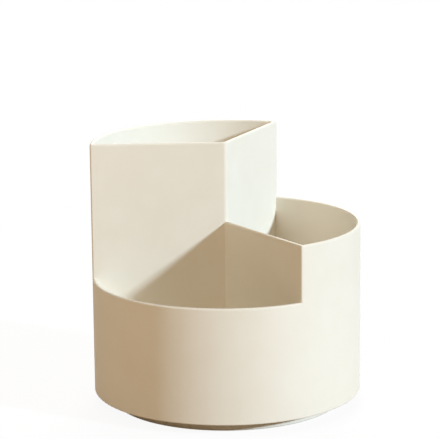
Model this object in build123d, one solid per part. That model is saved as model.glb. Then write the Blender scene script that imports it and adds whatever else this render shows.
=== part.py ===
from build123d import *
from math import pi
import os

# Rotating make-up organizer, in millimetres, +Z up. The origin is on the table, on the turning axis.
# One moulded cup with three compartments of three heights turns over a smaller base on a ring of
# steel balls. A screw from below holds the two together at a plain pivot.

# Organizer cup. Rim heights are above the table.
CUP_RADIUS = 65.0
WALL = 2.0
FLOOR = 2.2
CUP_STAND = 5.75
LOW_RIM = 61.5
MEDIUM_RIM = 88.5
TALL_RIM = 127.5
BOTTOM_ROUND = 0.7
RIM_ROUND = 0.8
SPINE_ROUND = 2.6
INSIDE_CORNER = 1.5
FLOOR_ROUND = 1.0

# Partitions, as plan angles from +X. Each compartment lies between two of them.
TALL_LOW_WALL = 183.0
LOW_MEDIUM_WALL = 303.0
MEDIUM_TALL_WALL = 67.0

# Turntable base
BASE_INSET = 9.5
BASE_RADIUS = CUP_RADIUS - BASE_INSET
BASE_PLATE = 2.6
BASE_RIM = 2.0
BASE_ROUND = 0.6
RUNNING_GAP = 0.8

# Stiffening ribs in the base and under the cup's floor
RIB_COUNT = 8
RIB_WIDTH = 1.4
RIB_ROOT = 0.5
BASE_RIB_HEIGHT = 2.4
CUP_RIB_DEPTH = 1.2

# Ball race
BALL_COUNT = 12
BALL_RADIUS = 2.5
RACE_INSET = 19.5
RACE_RADIUS = BASE_RADIUS - RACE_INSET
RACE_WIDTH = 10.0
LOWER_RACE_HEIGHT = 3.8
UPPER_RACE_HEIGHT = 2.4
GROOVE_DEPTH = 1.2
BALL_GAP = 0.1
RACE_WALL = 2.0
CAGE_WIDTH = 9.0
CAGE_GAP = 0.4
CAGE_BRIDGE = 2.5
WINDOW_ROUND = 1.0
POCKET_GAP = 0.2

# Pivot: the cup's boss, bushing, washer, screw and cap
BOSS_RADIUS = 5.0
JOURNAL_GAP = 0.06
BUSHING_WALL = 1.5
LEAD_IN = 0.5
FLANGE = 1.0
FLANGE_GAP = 0.5
HUB_WALL = 2.0
SEAT_GAP = 0.05
WASHER = 1.0
WASHER_ROUND = 0.25
WASHER_OVERLAP = 1.5
WASHER_GAP = 1.0
WASHER_HOLE_GAP = 0.2
END_PLAY = 0.2
SCREW_RADIUS = 2.0
SCREW_POINT = 1.0
SCREW_COVER = 1.2
HEAD_RADIUS = 4.0
HEAD_HEIGHT = 2.2
HEAD_ROUND = 1.0
HEAD_GAP = 0.7
DRIVE_LENGTH = 4.4
DRIVE_WIDTH = 0.9
DRIVE_DEPTH = 1.2
CAP = 1.0
CAP_SKIRT = 1.0

# Anti-slip pads
PAD_COUNT = 4
PAD_RADIUS = 5.5
PAD = 1.7
PAD_STAND = 0.3
PAD_INSET = 9.0
PAD_CIRCLE = BASE_RADIUS - PAD_INSET
PAD_GAP = 0.1
PAD_ROUND = 0.3

# How closely an edge has to lie at a level to count as part of it
NEAR = 0.01

# Levels from the table upwards
base_bottom = PAD_STAND
plate_top = base_bottom + BASE_PLATE
lower_race = plate_top + LOWER_RACE_HEIGHT
race_reach = BALL_RADIUS - GROOVE_DEPTH
ball_level = lower_race + race_reach
upper_race = ball_level + race_reach
floor_under = upper_race + UPPER_RACE_HEIGHT
floor_top = floor_under + FLOOR
cup_rib_under = floor_under - CUP_RIB_DEPTH
base_rim_top = cup_rib_under - RUNNING_GAP
cap_top = base_bottom + CAP
head_under = cap_top + HEAD_GAP
washer_under = head_under + HEAD_HEIGHT
boss_end = washer_under + WASHER
hub_ledge = boss_end + END_PLAY
hub_shoulder = hub_ledge + HUB_WALL
hub_top = floor_under - FLANGE_GAP - FLANGE
screw_hole_top = floor_top - SCREW_COVER
screw_tip = screw_hole_top - SEAT_GAP

# Radii from the axis outwards
bushing_bore = BOSS_RADIUS + JOURNAL_GAP
bushing_radius = bushing_bore + BUSHING_WALL
hub_bore = bushing_radius + SEAT_GAP
hub_radius = hub_bore + HUB_WALL
washer_radius = bushing_radius + WASHER_OVERLAP
well_radius = washer_radius + WASHER_GAP
well_outside = well_radius + HUB_WALL
cap_radius = well_radius - SEAT_GAP
screw_hole = SCREW_RADIUS + SEAT_GAP
race_inner = RACE_RADIUS - RACE_WIDTH / 2
race_outer = RACE_RADIUS + RACE_WIDTH / 2
groove_radius = BALL_RADIUS + BALL_GAP
base_rim_inner = BASE_RADIUS - BASE_RIM
cup_bore = CUP_RADIUS - WALL


def outline(*points):
    """Closed face in the plane of radius and height."""
    return make_face(Polyline(*points, close=True))


def rounded(face, radius, *corners):
    """The face with the named corners rounded."""
    picked = [face.vertices().sort_by_distance((*corner, 0))[0] for corner in corners]
    return fillet(picked, radius)


def turned(face):
    """Solid made by turning a face of radius and height about the axis."""
    return revolve(Plane.XZ * face, Axis.Z)


def groove():
    """Section of the groove that the balls run in, a little wider than a ball."""
    return Pos(RACE_RADIUS, ball_level) * Circle(groove_radius)


def ribs(start, end, under, top):
    """Radial ribs round the axis, from one radius to another."""
    size = (end - start, RIB_WIDTH, top - under)
    rib = Pos(start, 0, under) * Box(*size, align=(Align.MIN, Align.CENTER, Align.MIN))
    return [Rot(0, 0, i * 360 / RIB_COUNT) * rib for i in range(RIB_COUNT)]


def ball_places():
    """Centres of the balls round the race."""
    return [Pos(0, 0, ball_level) * place for place in PolarLocations(RACE_RADIUS, BALL_COUNT)]


def pad_places():
    """Centres of the pads on the table, under the base."""
    return PolarLocations(PAD_CIRCLE, PAD_COUNT, 180 / PAD_COUNT)


def sector(first_wall, last_wall, inset):
    """Plan between two partitions, open towards the outside, with its sides moved in from their centres."""
    reach = 4 * CUP_RADIUS
    left_of_first = Pos(0, inset) * Rectangle(reach, reach, align=(Align.CENTER, Align.MIN))
    right_of_last = Pos(0, -inset) * Rectangle(reach, reach, align=(Align.CENTER, Align.MAX))
    return Rot(0, 0, first_wall) * left_of_first & Rot(0, 0, last_wall) * right_of_last


def cup_block():
    """Solid cup up to the tall rim, hollow under its floor, with the race, boss and screw hole there."""
    skirt_inside = (cup_bore, CUP_STAND)
    skirt_outside = (CUP_RADIUS, CUP_STAND)
    skirt_root = (cup_bore, floor_under)
    section = outline(
        (0, screw_hole_top), (screw_hole, screw_hole_top), (screw_hole, boss_end),
        (BOSS_RADIUS - LEAD_IN, boss_end), (BOSS_RADIUS, boss_end + LEAD_IN), (BOSS_RADIUS, floor_under),
        (race_inner, floor_under), (race_inner, upper_race), (race_outer, upper_race),
        (race_outer, floor_under), skirt_root, skirt_inside, skirt_outside,
        (CUP_RADIUS, TALL_RIM), (0, TALL_RIM))
    section = rounded(section, BOTTOM_ROUND, skirt_inside, skirt_outside)
    block = turned(rounded(section, FLOOR_ROUND, skirt_root) - groove())
    rib_top = floor_under + RIB_ROOT
    block += ribs(hub_radius + RUNNING_GAP, race_inner + RIB_ROOT, cup_rib_under, rib_top)
    block += ribs(race_outer - RIB_ROOT, cup_bore + RIB_ROOT, cup_rib_under, rib_top)
    return block


def cup_inside():
    """Room inside the shell, above its floor."""
    floor_edge = (cup_bore, floor_top)
    section = outline((0, floor_top), floor_edge, (cup_bore, TALL_RIM), (0, TALL_RIM))
    return turned(rounded(section, FLOOR_ROUND, floor_edge))


def rim_edges(cup):
    """Long edges of the three rims, and the upright edges where the shell steps from one to the next."""
    edges = []
    for level in (LOW_RIM, MEDIUM_RIM, TALL_RIM):
        rim = cup.faces().filter_by(Plane.XY).filter_by_position(Axis.Z, level - NEAR, level + NEAR)
        edges += [edge for edge in rim.edges() if edge.length > 2 * WALL]
    for edge in cup.edges().filter_by(Axis.Z):
        place = edge.center()
        on_shell = abs(Vector(place.X, place.Y).length - CUP_RADIUS) < NEAR
        if on_shell and edge.bounding_box().min.Z > LOW_RIM - NEAR:
            edges.append(edge)
    return edges


def organizer_cup():
    """Shell, stepped partitions and floor in one moulding."""
    tall_plan = sector(MEDIUM_TALL_WALL, TALL_LOW_WALL, -WALL / 2)
    spine = tall_plan.vertices().sort_by_distance((0, 0, 0))[0]
    outside_tall = Circle(2 * CUP_RADIUS) - fillet(spine, SPINE_ROUND)
    low_plan = sector(TALL_LOW_WALL, LOW_MEDIUM_WALL, WALL / 2)

    # the seam of the turned faces goes to the back, in the middle of the tall wall
    cup = Rot(0, 0, (MEDIUM_TALL_WALL + TALL_LOW_WALL) / 2) * cup_block()
    cup -= extrude(Pos(0, 0, MEDIUM_RIM) * outside_tall, TALL_RIM)
    cup -= extrude(Pos(0, 0, LOW_RIM) * low_plan, TALL_RIM)

    inside = cup_inside()
    tall_room = inside & extrude(sector(MEDIUM_TALL_WALL, TALL_LOW_WALL, WALL / 2), TALL_RIM)
    cup -= fillet(tall_room.edges().filter_by(Axis.Z), INSIDE_CORNER)
    cup -= inside & extrude(sector(LOW_MEDIUM_WALL, MEDIUM_TALL_WALL, WALL / 2), TALL_RIM)
    cup -= inside & extrude(low_plan, TALL_RIM)
    return fillet(rim_edges(cup), RIM_ROUND)


def turntable_base():
    """Round base with an upright rim, a hollow race ring and a stepped hub over the screw's well."""
    rim_outside = (BASE_RADIUS, base_rim_top)
    rim_inside = (base_rim_inner, base_rim_top)
    bottom_edge = (BASE_RADIUS, base_bottom)
    channel_inner = race_inner + RACE_WALL
    channel_outer = race_outer - RACE_WALL
    channel_top = ball_level - groove_radius - RACE_WALL
    section = outline(
        (hub_bore, hub_ledge), (well_radius, hub_ledge), (well_radius, base_bottom),
        (channel_inner, base_bottom), (channel_inner, channel_top), (channel_outer, channel_top),
        (channel_outer, base_bottom), bottom_edge, rim_outside, rim_inside, (base_rim_inner, plate_top),
        (race_outer, plate_top), (race_outer, lower_race), (race_inner, lower_race), (race_inner, plate_top),
        (well_outside, plate_top), (well_outside, hub_shoulder), (hub_radius, hub_shoulder),
        (hub_radius, hub_top), (hub_bore, hub_top))
    base = turned(rounded(section, BASE_ROUND, bottom_edge, rim_outside, rim_inside) - groove())
    rib_under = plate_top - RIB_ROOT
    rib_top = plate_top + BASE_RIB_HEIGHT
    base += ribs(well_outside - RIB_ROOT, race_inner + RIB_ROOT, rib_under, rib_top)
    base += ribs(race_outer - RIB_ROOT, base_rim_inner + RIB_ROOT, rib_under, rib_top)
    pocket = Cylinder(PAD_RADIUS + PAD_GAP, PAD, align=(Align.CENTER, Align.CENTER, Align.MIN))
    return base - [place * pocket for place in pad_places()]


def pivot_bushing():
    """Flanged sleeve in the hub, in which the cup's boss turns, with a lead-in at each end of its bore."""
    flange_top = hub_top + FLANGE
    lead_radius = bushing_bore + LEAD_IN
    return turned(outline(
        (lead_radius, hub_ledge), (bushing_radius, hub_ledge), (bushing_radius, hub_top),
        (hub_radius, hub_top), (hub_radius, flange_top), (lead_radius, flange_top),
        (bushing_bore, flange_top - LEAD_IN), (bushing_bore, hub_ledge + LEAD_IN)))


def pivot_washer():
    """Washer between the screw's head and the end of the boss, wider than the hub's bore."""
    hole = SCREW_RADIUS + WASHER_HOLE_GAP
    under_edge = (washer_radius, washer_under)
    top_edge = (washer_radius, boss_end)
    section = outline((hole, washer_under), under_edge, top_edge, (hole, boss_end))
    return turned(rounded(section, WASHER_ROUND, under_edge, top_edge))


def pivot_screw():
    """Pan-head screw, driven upwards into the boss, with a cross recess in its head."""
    head_edge = (HEAD_RADIUS, head_under)
    section = outline((0, head_under), head_edge, (HEAD_RADIUS, washer_under), (SCREW_RADIUS, washer_under),
                      (SCREW_RADIUS, screw_tip - SCREW_POINT), (SCREW_RADIUS - SCREW_POINT, screw_tip),
                      (0, screw_tip))
    screw = turned(rounded(section, HEAD_ROUND, head_edge))
    slot = Box(DRIVE_LENGTH, DRIVE_WIDTH, DRIVE_DEPTH, align=(Align.CENTER, Align.CENTER, Align.MIN))
    return screw - [Pos(0, 0, head_under) * Rot(0, 0, turn) * slot for turn in (0, 90)]


def hub_cap():
    """Cap pressed into the well under the screw, flush with the base, with a lead-in on its skirt."""
    skirt_inside = cap_radius - CAP
    skirt_top = cap_top + CAP_SKIRT
    return turned(outline(
        (0, base_bottom), (cap_radius, base_bottom), (cap_radius, skirt_top - LEAD_IN),
        (cap_radius - LEAD_IN, skirt_top), (skirt_inside, skirt_top), (skirt_inside, cap_top), (0, cap_top)))


def ball_cage():
    """Flat ring with a round pocket for each ball and a window between each two."""
    half = race_reach - CAGE_GAP
    inner = RACE_RADIUS - CAGE_WIDTH / 2
    outer = RACE_RADIUS + CAGE_WIDTH / 2
    cage = turned(outline((inner, ball_level - half), (outer, ball_level - half),
                          (outer, ball_level + half), (inner, ball_level + half)))
    pocket = Sphere(BALL_RADIUS + POCKET_GAP)
    ball_spacing = 2 * pi * RACE_RADIUS / BALL_COUNT
    window_length = ball_spacing - 2 * (BALL_RADIUS + POCKET_GAP) - 2 * CAGE_BRIDGE
    window_plan = RectangleRounded(CAGE_WIDTH - 2 * CAGE_BRIDGE, window_length, WINDOW_ROUND)
    window = extrude(window_plan, half, both=True)
    half_step = Rot(0, 0, 180 / BALL_COUNT)
    cage -= [half_step * place * window for place in ball_places()]
    return cage - [place * pocket for place in ball_places()]


def foot_pad():
    """Rubber pad, standing a little out of its pocket."""
    pad = Cylinder(PAD_RADIUS, PAD, align=(Align.CENTER, Align.CENTER, Align.MIN))
    return fillet(pad.edges().group_by(Axis.Z)[0], PAD_ROUND)


pieces = {
    "organizer_cup": organizer_cup(),
    "turntable_base": turntable_base(),
    "pivot_bushing": pivot_bushing(),
    "pivot_washer": pivot_washer(),
    "pivot_screw": pivot_screw(),
    "hub_cap": hub_cap(),
    "ball_cage": ball_cage(),
}
for number, place in enumerate(ball_places(), start=1):
    pieces[f"ball_{number:02d}"] = place * Sphere(BALL_RADIUS)
for number, place in enumerate(pad_places(), start=1):
    pieces[f"foot_pad_{number}"] = place * foot_pad()

os.makedirs("parts", exist_ok=True)
for name, piece in pieces.items():
    export_step(piece, f"parts/{name}.step")
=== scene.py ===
# Rotating make-up organizer: the finish of every piece, a threaded pivot screw, and the stage.
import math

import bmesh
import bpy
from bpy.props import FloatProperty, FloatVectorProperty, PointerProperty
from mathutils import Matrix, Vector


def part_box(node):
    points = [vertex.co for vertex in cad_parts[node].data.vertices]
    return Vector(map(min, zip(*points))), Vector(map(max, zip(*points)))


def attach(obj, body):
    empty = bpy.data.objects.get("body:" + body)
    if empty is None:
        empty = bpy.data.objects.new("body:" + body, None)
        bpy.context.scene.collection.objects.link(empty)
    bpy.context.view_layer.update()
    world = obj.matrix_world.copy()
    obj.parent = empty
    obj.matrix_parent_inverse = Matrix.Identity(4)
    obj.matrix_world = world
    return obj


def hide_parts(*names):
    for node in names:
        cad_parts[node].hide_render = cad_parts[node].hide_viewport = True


bl_info = {
    "name": "Rotating make-up organizer",
    "version": (1, 0, 0),
    "blender": (4, 5, 0),
    "location": "View3D > Sidebar > Organizer",
    "description": "Finishes the organizer's pieces and sets its stage, lamps and camera",
    "category": "Object",
}

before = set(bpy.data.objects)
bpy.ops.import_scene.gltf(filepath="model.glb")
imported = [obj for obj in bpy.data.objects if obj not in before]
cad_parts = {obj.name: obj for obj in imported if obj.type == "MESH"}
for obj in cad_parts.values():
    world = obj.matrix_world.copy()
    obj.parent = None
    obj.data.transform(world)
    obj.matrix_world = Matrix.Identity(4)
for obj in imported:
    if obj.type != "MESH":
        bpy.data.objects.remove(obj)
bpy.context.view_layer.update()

MM = 0.001
IMAGE_SIDE = 439
SENSOR_WIDTH = 36.0

WHITE = (1.0, 1.0, 1.0, 1.0)

# Direction from the object to the camera, from +X
CAMERA_SIDE = math.radians(-90)

# The floor lies just under the pads, so that the two faces aren't in one plane
FLOOR_GAP = 0.02 * MM
FLOOR_STEPS = 96

# A sun lamp shines the same from any distance
KEY_DISTANCE = 2000 * MM

# Sockets of a Mix node's colours, which share their names with its other sockets
MIX_A = 6
MIX_B = 7
MIX_RESULT = 2

# Most of a noise lies between these two values, so patterns are spread over them
NOISE_LOW = 0.3
NOISE_HIGH = 0.7

# Refractive index of each plastic, and the lowest and highest roughness of each finish
ABS_IOR = 1.53
ACETAL_IOR = 1.48
RUBBER_IOR = 1.52
SATIN = (0.56, 0.64)
WAXY = (0.32, 0.42)
PLATED = (0.22, 0.36)
POLISHED = (0.06, 0.14)
DULL = (0.74, 0.9)

# The satin grain breaks up most of the shine, which is 0.5 on a smooth plastic
SATIN_SHINE = 0.15

# Steps round a turn of the thread, round the screw's head, and over the head's rounding
THREAD_STEPS = 32
HEAD_STEPS = 48
ROUND_STEPS = 6

# Squares along a side of the grid that the cross recess is cut from
RECESS_SQUARES = 3

# The floor of the cross recess, as a share of its mouth
RECESS_TAPER = 0.75

# Points closer than this are one point, and faces that meet more sharply than this show an edge
SAME_PLACE = 0.001 * MM
SHARP_ANGLE = math.radians(35)

BALLS = sorted(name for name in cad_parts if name.startswith("ball_") and name != "ball_cage")
PADS = sorted(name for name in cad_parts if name.startswith("foot_pad"))


def linear(hex_colour):
    """Linear red, green and blue of an sRGB hex colour."""
    shares = [int(hex_colour[i:i + 2], 16) / 255 for i in (1, 3, 5)]
    return tuple(c / 12.92 if c <= 0.04045 else ((c + 0.055) / 1.055) ** 2.4 for c in shares)


def colour(name, description, hex_colour):
    """Colour that a user may change."""
    return FloatVectorProperty(name=name, description=description, subtype="COLOR", size=3,
                               min=0.0, max=1.0, default=linear(hex_colour))


def length(name, description, millimetres):
    """Length that a user may change, given in millimetres and kept in metres."""
    return FloatProperty(name=name, description=description, unit="LENGTH", precision=5,
                         min=0.0, default=millimetres * MM)


def angle(name, description, degrees):
    """Angle that a user may change, given in degrees."""
    return FloatProperty(name=name, description=description, subtype="ANGLE",
                         default=math.radians(degrees))


class OrganizerFinishes(bpy.types.PropertyGroup):
    """Colours and texture sizes of the materials."""
    cream: colour("Cream", "Moulded plastic of the cup, base and cap", "#f1ebde")
    cream_cloud: colour("Cream cloud", "Slightly deeper tone that clouds the plastic", "#eee7d8")
    cloud_size: length("Cloud size", "Width of the plastic's clouds", 22.0)
    grain_size: length("Grain size", "Width of the satin grain that the mould leaves", 0.7)
    grain_depth: length("Grain depth", "Height of the satin grain", 0.006)
    acetal: colour("Acetal", "Natural acetal of the bushing and ball cage", "#eeede6")
    acetal_flow: colour("Acetal flow", "Milkier streaks where the acetal flowed", "#e2e1d9")
    flow_size: length("Flow size", "Width of the streaks in the acetal", 3.0)
    zinc: colour("Zinc", "Bright zinc plating on the screw and washer", "#cdd0d3")
    zinc_dark: colour("Dark zinc", "Darker crystals in the zinc plating", "#aeb3b8")
    crystal_size: length("Crystal size", "Width of the crystals in the plating", 0.35)
    ball_steel: colour("Ball steel", "Polished bearing steel", "#d3d4d4")
    ball_steel_dark: colour("Dark ball steel", "Faint stain on the polished steel", "#c2c3c4")
    polish_size: length("Polish size", "Width of the marks that the polishing leaves", 0.25)
    rubber: colour("Rubber", "Anti-slip pads", "#6f6c66")
    rubber_bloom: colour("Rubber bloom", "Paler dust on the rubber", "#7d7a74")
    bloom_size: length("Bloom size", "Width of the patches of bloom", 2.0)
    stipple_size: length("Stipple size", "Width of the pads' moulded stipple", 0.5)
    stipple_depth: length("Stipple depth", "Height of the pads' moulded stipple", 0.05)


class OrganizerScrew(bpy.types.PropertyGroup):
    """Sizes of the thread-forming screw that holds the cup to its base."""
    crest_radius: length("Crest radius", "Outside of the thread", 2.0)
    root_radius: length("Root radius", "Core under the thread", 1.45)
    pitch: length("Pitch", "From one turn of the thread to the next", 1.8)
    crest_flat: length("Crest flat", "Width of the thread's crest", 0.12)
    flank: length("Flank", "Width of each side of the thread", 0.2)
    point: length("Point", "Length of the tapered end", 1.0)
    point_radius: length("Point radius", "Radius at the very end", 0.7)
    head_round: length("Head round", "Rounding of the pan head", 1.0)
    recess_length: length("Recess length", "Reach of the cross recess from side to side", 4.4)
    recess_width: length("Recess width", "Width of the cross recess", 0.9)
    recess_depth: length("Recess depth", "Depth of the cross recess", 1.2)


class OrganizerStage(bpy.types.PropertyGroup):
    """Camera, lamps and floor."""
    camera_distance: length("Camera distance", "From the aim point to the camera", 1028.6)
    camera_elevation: angle("Camera elevation", "Height of the camera above the horizon", 12.16)
    camera_roll: angle("Camera roll", "Turn of the camera about its own line of sight", -0.516)
    aim_height: length("Aim height", "Point on the turning axis that the camera is level with", 89.4)
    lens: FloatProperty(name="Lens", description="Focal length on the sensor's width", unit="CAMERA",
                        default=174.35)
    axis_offset: FloatProperty(name="Axis offset", subtype="PIXEL", default=6.4,
                               description="From the picture's centre to the turning axis")
    key_azimuth: angle("Key azimuth", "Direction of the key lamp, from +X", -31.0)
    key_elevation: angle("Key elevation", "Height of the key lamp above the horizon", 21.0)
    key_spread: angle("Key spread", "Width of the key lamp, which softens its shadows", 4.0)
    key_strength: FloatProperty(name="Key strength", description="Irradiance of the key lamp", default=3.3)
    key_colour: colour("Key colour", "Cool light of the key lamp", "#d8edff")
    front_azimuth: angle("Front light azimuth", "Direction of the soft light in front, from +X", -116.0)
    front_elevation: angle("Front light elevation", "Height of the soft front light above the horizon",
                           45.0)
    front_distance: length("Front light distance", "From the object to the soft front light", 1500.0)
    front_size: length("Front light size", "Side of the square soft front light", 1000.0)
    front_power: FloatProperty(name="Front light power", description="Power of the soft front light",
                               unit="POWER", default=6.8)
    front_colour: colour("Front light colour", "Warm light from the front left", "#ffebd2")
    back_azimuth: angle("Back light azimuth", "Direction of the soft light behind, from +X", 84.0)
    back_elevation: angle("Back light elevation", "Height of the soft back light above the horizon", 32.0)
    back_distance: length("Back light distance", "From the object to the soft back light", 1600.0)
    back_size: length("Back light size", "Side of the square soft back light", 800.0)
    back_power: FloatProperty(name="Back light power", description="Power of the soft back light",
                              unit="POWER", default=19.0)
    back_colour: colour("Back light colour", "Near-white light from behind", "#f8faf9")
    fill_colour: colour("Fill colour", "Warm light from all round", "#7a6b54")
    table_colour: colour("Table colour", "Warm table that bounces light up", "#c0a98e")
    floor_radius: length("Floor radius", "Reach of the floor", 4000.0)
    shadow_reach: length("Shadow reach", "Distance at which the floor has turned plain white", 420.0)
    shadow_share: FloatProperty(name="Shadow share", description="How much of the shadow the floor shows",
                                subtype="FACTOR", min=0.0, max=1.0, default=0.08)


def add_node(tree, kind, inputs=None, **settings):
    """Adds a node with its settings. An input is a value, or a socket to link from."""
    made = tree.nodes.new(kind)
    for name, value in settings.items():
        setattr(made, name, value)
    for name, value in (inputs or {}).items():
        if isinstance(value, bpy.types.NodeSocket):
            tree.links.new(value, made.inputs[name])
        else:
            made.inputs[name].default_value = value
    return made


def empty_material(name):
    """Material with no nodes yet, and its node tree."""
    material = bpy.data.materials.new(name)
    material.use_nodes = True
    material.node_tree.nodes.clear()
    return material, material.node_tree


def moulded_abs(finishes):
    """Satin ABS from a spark-eroded mould: an even cream with faint clouds and a soft, wide sheen."""
    material, tree = empty_material("moulded_cream_abs")
    place = add_node(tree, "ShaderNodeTexCoord").outputs["Object"]
    cloud = add_node(tree, "ShaderNodeTexNoise", {
        "Vector": place, "Scale": 1 / finishes.cloud_size, "Detail": 3.0}).outputs["Fac"]
    cloud_share = add_node(tree, "ShaderNodeMapRange", {
        "Value": cloud, "From Min": NOISE_LOW, "From Max": NOISE_HIGH}).outputs["Result"]
    tone = add_node(tree, "ShaderNodeMix", {
        "Factor": cloud_share, MIX_A: (*finishes.cream, 1.0), MIX_B: (*finishes.cream_cloud, 1.0)},
        data_type="RGBA").outputs[MIX_RESULT]
    # spark erosion leaves pits of about 0.1 mm, drawn several times coarser so that they show
    grain = add_node(tree, "ShaderNodeTexNoise", {
        "Vector": place, "Scale": 1 / finishes.grain_size, "Detail": 2.0}).outputs["Fac"]
    gloss = add_node(tree, "ShaderNodeMapRange", {
        "Value": grain, "From Min": NOISE_LOW, "From Max": NOISE_HIGH,
        "To Min": SATIN[0], "To Max": SATIN[1]}).outputs["Result"]
    bump = add_node(tree, "ShaderNodeBump", {
        "Height": grain, "Distance": finishes.grain_depth, "Strength": 1.0}).outputs["Normal"]
    shader = add_node(tree, "ShaderNodeBsdfPrincipled", {
        "Base Color": tone, "Roughness": gloss, "Normal": bump, "IOR": ABS_IOR,
        "Specular IOR Level": SATIN_SHINE})
    add_node(tree, "ShaderNodeOutputMaterial", {"Surface": shader.outputs["BSDF"]})
    return material


def natural_acetal(finishes):
    """Natural acetal straight from the mould: milky white and waxy, with faint streaks of flow."""
    material, tree = empty_material("natural_acetal")
    place = add_node(tree, "ShaderNodeTexCoord").outputs["Object"]
    flow = add_node(tree, "ShaderNodeTexNoise", {
        "Vector": place, "Scale": 1 / finishes.flow_size, "Detail": 3.0, "Distortion": 1.5}).outputs["Fac"]
    flow_share = add_node(tree, "ShaderNodeMapRange", {
        "Value": flow, "From Min": NOISE_LOW, "From Max": NOISE_HIGH}).outputs["Result"]
    tone = add_node(tree, "ShaderNodeMix", {
        "Factor": flow_share, MIX_A: (*finishes.acetal, 1.0), MIX_B: (*finishes.acetal_flow, 1.0)},
        data_type="RGBA").outputs[MIX_RESULT]
    gloss = add_node(tree, "ShaderNodeMapRange", {
        "Value": flow, "From Min": NOISE_LOW, "From Max": NOISE_HIGH,
        "To Min": WAXY[0], "To Max": WAXY[1]}).outputs["Result"]
    shader = add_node(tree, "ShaderNodeBsdfPrincipled", {
        "Base Color": tone, "Roughness": gloss, "IOR": ACETAL_IOR})
    add_node(tree, "ShaderNodeOutputMaterial", {"Surface": shader.outputs["BSDF"]})
    return material


def zinc_plate(finishes):
    """Bright zinc plate on steel: a pale blue-grey metal with a fine, uneven crystal sparkle."""
    material, tree = empty_material("zinc_plated_steel")
    place = add_node(tree, "ShaderNodeTexCoord").outputs["Object"]
    # plated crystals are a few hundredths of a millimetre wide, drawn coarser so that they show
    crystal = add_node(tree, "ShaderNodeTexVoronoi", {
        "Vector": place, "Scale": 1 / finishes.crystal_size}).outputs["Color"]
    tone = add_node(tree, "ShaderNodeMix", {
        "Factor": crystal, MIX_A: (*finishes.zinc, 1.0), MIX_B: (*finishes.zinc_dark, 1.0)},
        data_type="RGBA").outputs[MIX_RESULT]
    gloss = add_node(tree, "ShaderNodeMapRange", {
        "Value": crystal, "To Min": PLATED[0], "To Max": PLATED[1]}).outputs["Result"]
    shader = add_node(tree, "ShaderNodeBsdfPrincipled", {
        "Base Color": tone, "Roughness": gloss, "Metallic": 1.0})
    add_node(tree, "ShaderNodeOutputMaterial", {"Surface": shader.outputs["BSDF"]})
    return material


def bearing_steel(finishes):
    """Lapped and polished chrome steel: a near mirror, broken a little by the marks of the polishing."""
    material, tree = empty_material("polished_bearing_steel")
    place = add_node(tree, "ShaderNodeTexCoord").outputs["Object"]
    marks = add_node(tree, "ShaderNodeTexNoise", {
        "Vector": place, "Scale": 1 / finishes.polish_size, "Detail": 4.0}).outputs["Fac"]
    tone = add_node(tree, "ShaderNodeMix", {
        "Factor": marks, MIX_A: (*finishes.ball_steel, 1.0), MIX_B: (*finishes.ball_steel_dark, 1.0)},
        data_type="RGBA").outputs[MIX_RESULT]
    gloss = add_node(tree, "ShaderNodeMapRange", {
        "Value": marks, "From Min": NOISE_LOW, "From Max": NOISE_HIGH,
        "To Min": POLISHED[0], "To Max": POLISHED[1]}).outputs["Result"]
    shader = add_node(tree, "ShaderNodeBsdfPrincipled", {
        "Base Color": tone, "Roughness": gloss, "Metallic": 1.0})
    add_node(tree, "ShaderNodeOutputMaterial", {"Surface": shader.outputs["BSDF"]})
    return material


def moulded_rubber(finishes):
    """Soft moulded rubber: a dull warm grey with a dusty bloom and a pebbled face."""
    material, tree = empty_material("moulded_rubber")
    place = add_node(tree, "ShaderNodeTexCoord").outputs["Object"]
    bloom = add_node(tree, "ShaderNodeTexNoise", {
        "Vector": place, "Scale": 1 / finishes.bloom_size, "Detail": 4.0}).outputs["Fac"]
    tone = add_node(tree, "ShaderNodeMix", {
        "Factor": bloom, MIX_A: (*finishes.rubber, 1.0), MIX_B: (*finishes.rubber_bloom, 1.0)},
        data_type="RGBA").outputs[MIX_RESULT]
    pebble = add_node(tree, "ShaderNodeTexVoronoi", {
        "Vector": place, "Scale": 1 / finishes.stipple_size}, feature="SMOOTH_F1").outputs["Distance"]
    bump = add_node(tree, "ShaderNodeBump", {
        "Height": pebble, "Distance": finishes.stipple_depth, "Strength": 1.0},
        invert=True).outputs["Normal"]
    gloss = add_node(tree, "ShaderNodeMapRange", {
        "Value": bloom, "From Min": NOISE_LOW, "From Max": NOISE_HIGH,
        "To Min": DULL[0], "To Max": DULL[1]}).outputs["Result"]
    shader = add_node(tree, "ShaderNodeBsdfPrincipled", {
        "Base Color": tone, "Roughness": gloss, "Normal": bump, "IOR": RUBBER_IOR})
    add_node(tree, "ShaderNodeOutputMaterial", {"Surface": shader.outputs["BSDF"]})
    return material


def give(material, *nodes):
    """Gives the material to those CAD nodes."""
    for name in nodes:
        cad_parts[name].material_slots[0].material = material


class OrganizerCreamPieces(bpy.types.Operator):
    """Finish the cup, base and cap in moulded cream plastic"""
    bl_idname = "organizer.cream_pieces"
    bl_label = "Cup, base and cap"

    def execute(self, context):
        give(moulded_abs(context.scene.organizer_finishes), "organizer_cup", "turntable_base", "hub_cap")
        return {"FINISHED"}


class OrganizerBearing(bpy.types.Operator):
    """Finish the balls in polished steel and their cage in acetal"""
    bl_idname = "organizer.bearing"
    bl_label = "Ball bearing"

    def execute(self, context):
        finishes = context.scene.organizer_finishes
        give(bearing_steel(finishes), *BALLS)
        give(natural_acetal(finishes), "ball_cage", "pivot_bushing")
        return {"FINISHED"}


def open_edges(made, level):
    """Open edges of the mesh that lie at that height."""
    return [edge for edge in made.edges
            if edge.is_boundary and all(abs(corner.co.z - level) < SAME_PLACE for corner in edge.verts)]


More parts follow.
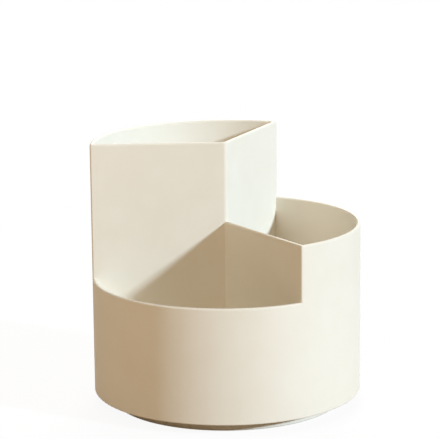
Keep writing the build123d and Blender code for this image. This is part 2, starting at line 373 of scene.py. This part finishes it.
def grow(made, edges, scale, rise):
    """Extrudes a ring of edges, scales the new ring about the axis and raises it, and gives its edges."""
    extruded = bmesh.ops.extrude_edge_only(made, edges=edges)["geom"]
    corners = {part for part in extruded if isinstance(part, bmesh.types.BMVert)}
    bmesh.ops.scale(made, verts=list(corners), vec=(scale, scale, 1.0))
    bmesh.ops.translate(made, verts=list(corners), vec=(0.0, 0.0, rise))
    return [edge for edge in made.edges if corners.issuperset(edge.verts)]


def thread(made, sizes, bottom, top):
    """Core and thread: one pitch of the section, spun up about the axis and cut off square at both ends."""
    groove = sizes.pitch - 2 * sizes.flank - sizes.crest_flat
    crest = groove + sizes.flank
    section = ((sizes.root_radius, 0.0), (sizes.root_radius, groove), (sizes.crest_radius, crest),
               (sizes.crest_radius, crest + sizes.crest_flat), (sizes.root_radius, sizes.pitch))
    # the first and last turns are only partly closed, so the spin starts below the cut and ends above it
    start = bottom - 2 * sizes.pitch
    turns = math.ceil((top - start) / sizes.pitch)
    corners = [made.verts.new((radius, 0.0, start + rise)) for radius, rise in section]
    sides = [made.edges.new(pair) for pair in zip(corners, corners[1:])]
    bmesh.ops.spin(made, geom=corners + sides, axis=(0.0, 0.0, 1.0), angle=2 * math.pi * turns,
                   dvec=(0.0, 0.0, sizes.pitch / THREAD_STEPS), steps=turns * THREAD_STEPS)
    bmesh.ops.remove_doubles(made, verts=made.verts[:], dist=SAME_PLACE)
    for level, outwards in ((bottom, -1.0), (top, 1.0)):
        bmesh.ops.bisect_plane(made, geom=made.verts[:] + made.edges[:] + made.faces[:], clear_outer=True,
                               plane_co=(0.0, 0.0, level), plane_no=(0.0, 0.0, outwards))


def pan_head(made, sizes, under, top, radius):
    """Rounded head with a cross recess below. Above, it is left open where the core goes on."""
    core = bmesh.ops.create_circle(made, segments=HEAD_STEPS, radius=sizes.root_radius)["verts"]
    bmesh.ops.translate(made, verts=core, vec=(0.0, 0.0, top))
    core_edges = list({edge for corner in core for edge in corner.link_edges})
    shoulder = grow(made, core_edges, radius / sizes.root_radius, 0.0)
    rim = grow(made, shoulder, 1.0, under - top)
    half = sizes.recess_length / 2
    flat_radius = (half + radius - sizes.head_round) / 2
    grow(made, rim, flat_radius / radius, 0.0)
    bmesh.ops.bevel(made, geom=rim, offset=sizes.head_round, segments=ROUND_STEPS, profile=0.5,
                    affect="EDGES", material=-1)

    # the recess: a grid of nine squares without its corners, pushed up into the head
    grid = bmesh.ops.create_grid(made, x_segments=RECESS_SQUARES, y_segments=RECESS_SQUARES,
                                 size=half)["verts"]
    narrow = RECESS_SQUARES * sizes.recess_width / sizes.recess_length
    middle_columns = [corner for corner in grid if abs(corner.co.x) < half / 2]
    middle_rows = [corner for corner in grid if abs(corner.co.y) < half / 2]
    bmesh.ops.scale(made, verts=middle_columns, vec=(narrow, 1.0, 1.0))
    bmesh.ops.scale(made, verts=middle_rows, vec=(1.0, narrow, 1.0))
    bmesh.ops.translate(made, verts=grid, vec=(0.0, 0.0, under))
    squares = {face for corner in grid for face in corner.link_faces}
    corner_squares = [face for face in squares
                      if min(map(abs, face.calc_center_median().xy)) > sizes.recess_width / 2]
    bmesh.ops.delete(made, geom=corner_squares, context="FACES")
    mouth = [face for face in squares if face.is_valid]
    pushed = bmesh.ops.extrude_face_region(made, geom=mouth)["geom"]
    floor = [part for part in pushed if isinstance(part, bmesh.types.BMVert)]
    bmesh.ops.scale(made, verts=floor, vec=(RECESS_TAPER, RECESS_TAPER, 1.0))
    bmesh.ops.translate(made, verts=floor, vec=(0.0, 0.0, sizes.recess_depth))
    bmesh.ops.delete(made, geom=mouth, context="FACES")
    bmesh.ops.triangle_fill(made, use_beauty=True, edges=open_edges(made, under), normal=(0.0, 0.0, -1.0))


class OrganizerPivot(bpy.types.Operator):
    """Cut the thread on the pivot's screw, and plate the screw and its washer"""
    bl_idname = "organizer.pivot"
    bl_label = "Pivot screw and washer"

    def execute(self, context):
        sizes = context.scene.organizer_screw
        plated = zinc_plate(context.scene.organizer_finishes)
        give(plated, "pivot_washer")
        screw_low, screw_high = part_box("pivot_screw")
        washer_low, washer_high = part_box("pivot_washer")
        thread_top = screw_high.z - sizes.point

        made = bmesh.new()
        thread(made, sizes, washer_high.z, thread_top)
        taper = sizes.point_radius / sizes.crest_radius
        bmesh.ops.edgeloop_fill(made, edges=grow(made, open_edges(made, thread_top), taper, sizes.point))
        pan_head(made, sizes, screw_low.z, washer_low.z, screw_high.x)
        neck = open_edges(made, washer_low.z) + open_edges(made, washer_high.z)
        bmesh.ops.bridge_loops(made, edges=neck)
        bmesh.ops.recalc_face_normals(made, faces=made.faces[:])

        mesh = bpy.data.meshes.new("threaded_screw")
        made.to_mesh(mesh)
        made.free()
        mesh.shade_smooth()
        mesh.set_sharp_from_angle(angle=SHARP_ANGLE)
        mesh.materials.append(plated)
        screw = bpy.data.objects.new("threaded_screw", mesh)
        context.scene.collection.objects.link(screw)
        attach(screw, "cup")
        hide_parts("pivot_screw")
        return {"FINISHED"}


class OrganizerPads(bpy.types.Operator):
    """Finish the anti-slip pads in rubber"""
    bl_idname = "organizer.pads"
    bl_label = "Anti-slip pads"

    def execute(self, context):
        give(moulded_rubber(context.scene.organizer_finishes), *PADS)
        return {"FINISHED"}


def white_to_the_eye(tree):
    """1 for what the camera sees straight, mirrored or through glass, and 0 for scattered light."""
    path = add_node(tree, "ShaderNodeLightPath").outputs
    seen = add_node(tree, "ShaderNodeMath", {
        0: path["Is Camera Ray"], 1: path["Is Glossy Ray"]}, operation="ADD").outputs[0]
    return add_node(tree, "ShaderNodeMath", {
        0: seen, 1: path["Is Transmission Ray"]}, operation="ADD", use_clamp=True).outputs[0]


def room(stage):
    """World that is white to the eye and lights the pieces with a warm fill."""
    world = bpy.data.worlds.new("room")
    world.use_nodes = True
    tree = world.node_tree
    tree.nodes.clear()
    fill = add_node(tree, "ShaderNodeBackground", {"Color": (*stage.fill_colour, 1.0)})
    white = add_node(tree, "ShaderNodeBackground", {"Color": WHITE})
    both = add_node(tree, "ShaderNodeMixShader", {
        "Fac": white_to_the_eye(tree), 1: fill.outputs[0], 2: white.outputs[0]})
    add_node(tree, "ShaderNodeOutputWorld", {"Surface": both.outputs[0]})
    return world


def white_floor(stage):
    """Floor that is white to the eye with a faint shadow near the object, and bounces warm light."""
    material, tree = empty_material("white_floor")
    place = add_node(tree, "ShaderNodeTexCoord").outputs["Object"]
    away = add_node(tree, "ShaderNodeVectorMath", {0: place}, operation="LENGTH").outputs["Value"]
    plain = add_node(tree, "ShaderNodeMapRange", {
        "Value": away, "From Max": stage.shadow_reach, "To Min": 1 - stage.shadow_share, "To Max": 1.0},
        interpolation_type="SMOOTHSTEP").outputs["Result"]
    paper = add_node(tree, "ShaderNodeBsdfDiffuse", {"Color": WHITE})
    glow = add_node(tree, "ShaderNodeEmission", {"Color": WHITE})
    seen = add_node(tree, "ShaderNodeMixShader", {"Fac": plain, 1: paper.outputs[0], 2: glow.outputs[0]})
    table = add_node(tree, "ShaderNodeBsdfDiffuse", {"Color": (*stage.table_colour, 1.0)})
    both = add_node(tree, "ShaderNodeMixShader", {
        "Fac": white_to_the_eye(tree), 1: table.outputs[0], 2: seen.outputs[0]})
    add_node(tree, "ShaderNodeOutputMaterial", {"Surface": both.outputs[0]})
    return material


def towards(azimuth, elevation):
    """Unit vector from the object in that direction."""
    flat = math.cos(elevation)
    return Vector((flat * math.cos(azimuth), flat * math.sin(azimuth), math.sin(elevation)))


def lamp(scene, name, kind, place, energy, tint):
    """Lamp that stands at that place and shines at the origin."""
    data = bpy.data.lights.new(name, kind)
    data.energy = energy
    data.color = tint
    made = bpy.data.objects.new(name, data)
    made.location = place
    made.rotation_euler = place.to_track_quat("Z", "Y").to_euler()
    scene.collection.objects.link(made)
    return data


class OrganizerSetStage(bpy.types.Operator):
    """Make the floor, room light, lamps and camera"""
    bl_idname = "organizer.stage"
    bl_label = "Stage"

    def execute(self, context):
        scene = context.scene
        stage = scene.organizer_stage
        scene.view_settings.view_transform = "Standard"
        scene.world = room(stage)

        mesh = bpy.data.meshes.new("floor")
        disc = bmesh.new()
        bmesh.ops.create_circle(disc, cap_ends=True, segments=FLOOR_STEPS, radius=stage.floor_radius)
        disc.to_mesh(mesh)
        disc.free()
        mesh.materials.append(white_floor(stage))
        floor = bpy.data.objects.new("floor", mesh)
        floor.location.z = -FLOOR_GAP
        scene.collection.objects.link(floor)

        key_place = towards(stage.key_azimuth, stage.key_elevation) * KEY_DISTANCE
        key = lamp(scene, "key_lamp", "SUN", key_place, stage.key_strength, stage.key_colour)
        key.angle = stage.key_spread
        front_place = towards(stage.front_azimuth, stage.front_elevation) * stage.front_distance
        front = lamp(scene, "front_light", "AREA", front_place, stage.front_power, stage.front_colour)
        front.size = stage.front_size
        back_place = towards(stage.back_azimuth, stage.back_elevation) * stage.back_distance
        back = lamp(scene, "back_light", "AREA", back_place, stage.back_power, stage.back_colour)
        back.size = stage.back_size

        data = bpy.data.cameras.new("camera")
        data.sensor_width = SENSOR_WIDTH
        data.lens = stage.lens
        data.shift_x = -stage.axis_offset / IMAGE_SIDE
        camera = bpy.data.objects.new("camera", data)
        scene.collection.objects.link(camera)
        arm = towards(CAMERA_SIDE, stage.camera_elevation) * stage.camera_distance
        camera.location = arm + Vector((0.0, 0.0, stage.aim_height))
        tilt = Matrix.Rotation(math.pi / 2 - stage.camera_elevation, 3, "X")
        camera.rotation_euler = (tilt @ Matrix.Rotation(stage.camera_roll, 3, "Z")).to_euler()
        scene.camera = camera
        return {"FINISHED"}


OPERATORS = (OrganizerCreamPieces, OrganizerBearing, OrganizerPivot, OrganizerPads, OrganizerSetStage)


class OrganizerPanel(bpy.types.Panel):
    """Lists the organizer's operators and settings"""
    bl_idname = "VIEW3D_PT_organizer"
    bl_label = "Make-up organizer"
    bl_space_type = "VIEW_3D"
    bl_region_type = "UI"
    bl_category = "Organizer"

    def draw(self, context):
        for operator in OPERATORS:
            self.layout.operator(operator.bl_idname)
        scene = context.scene
        for settings in (scene.organizer_finishes, scene.organizer_screw, scene.organizer_stage):
            for name in settings.__annotations__:
                self.layout.prop(settings, name)


CLASSES = (OrganizerFinishes, OrganizerScrew, OrganizerStage, *OPERATORS, OrganizerPanel)


def register():
    """Makes the classes and their settings known to Blender."""
    for made in CLASSES:
        bpy.utils.register_class(made)
    bpy.types.Scene.organizer_finishes = PointerProperty(type=OrganizerFinishes)
    bpy.types.Scene.organizer_screw = PointerProperty(type=OrganizerScrew)
    bpy.types.Scene.organizer_stage = PointerProperty(type=OrganizerStage)


def unregister():
    """Takes the settings and the classes away again."""
    del bpy.types.Scene.organizer_stage
    del bpy.types.Scene.organizer_screw
    del bpy.types.Scene.organizer_finishes
    for made in reversed(CLASSES):
        bpy.utils.unregister_class(made)


def main():
    """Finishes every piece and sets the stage."""
    register()
    bpy.ops.organizer.cream_pieces()
    bpy.ops.organizer.bearing()
    bpy.ops.organizer.pivot()
    bpy.ops.organizer.pads()
    bpy.ops.organizer.stage()


if __name__ == "__main__":
    main()
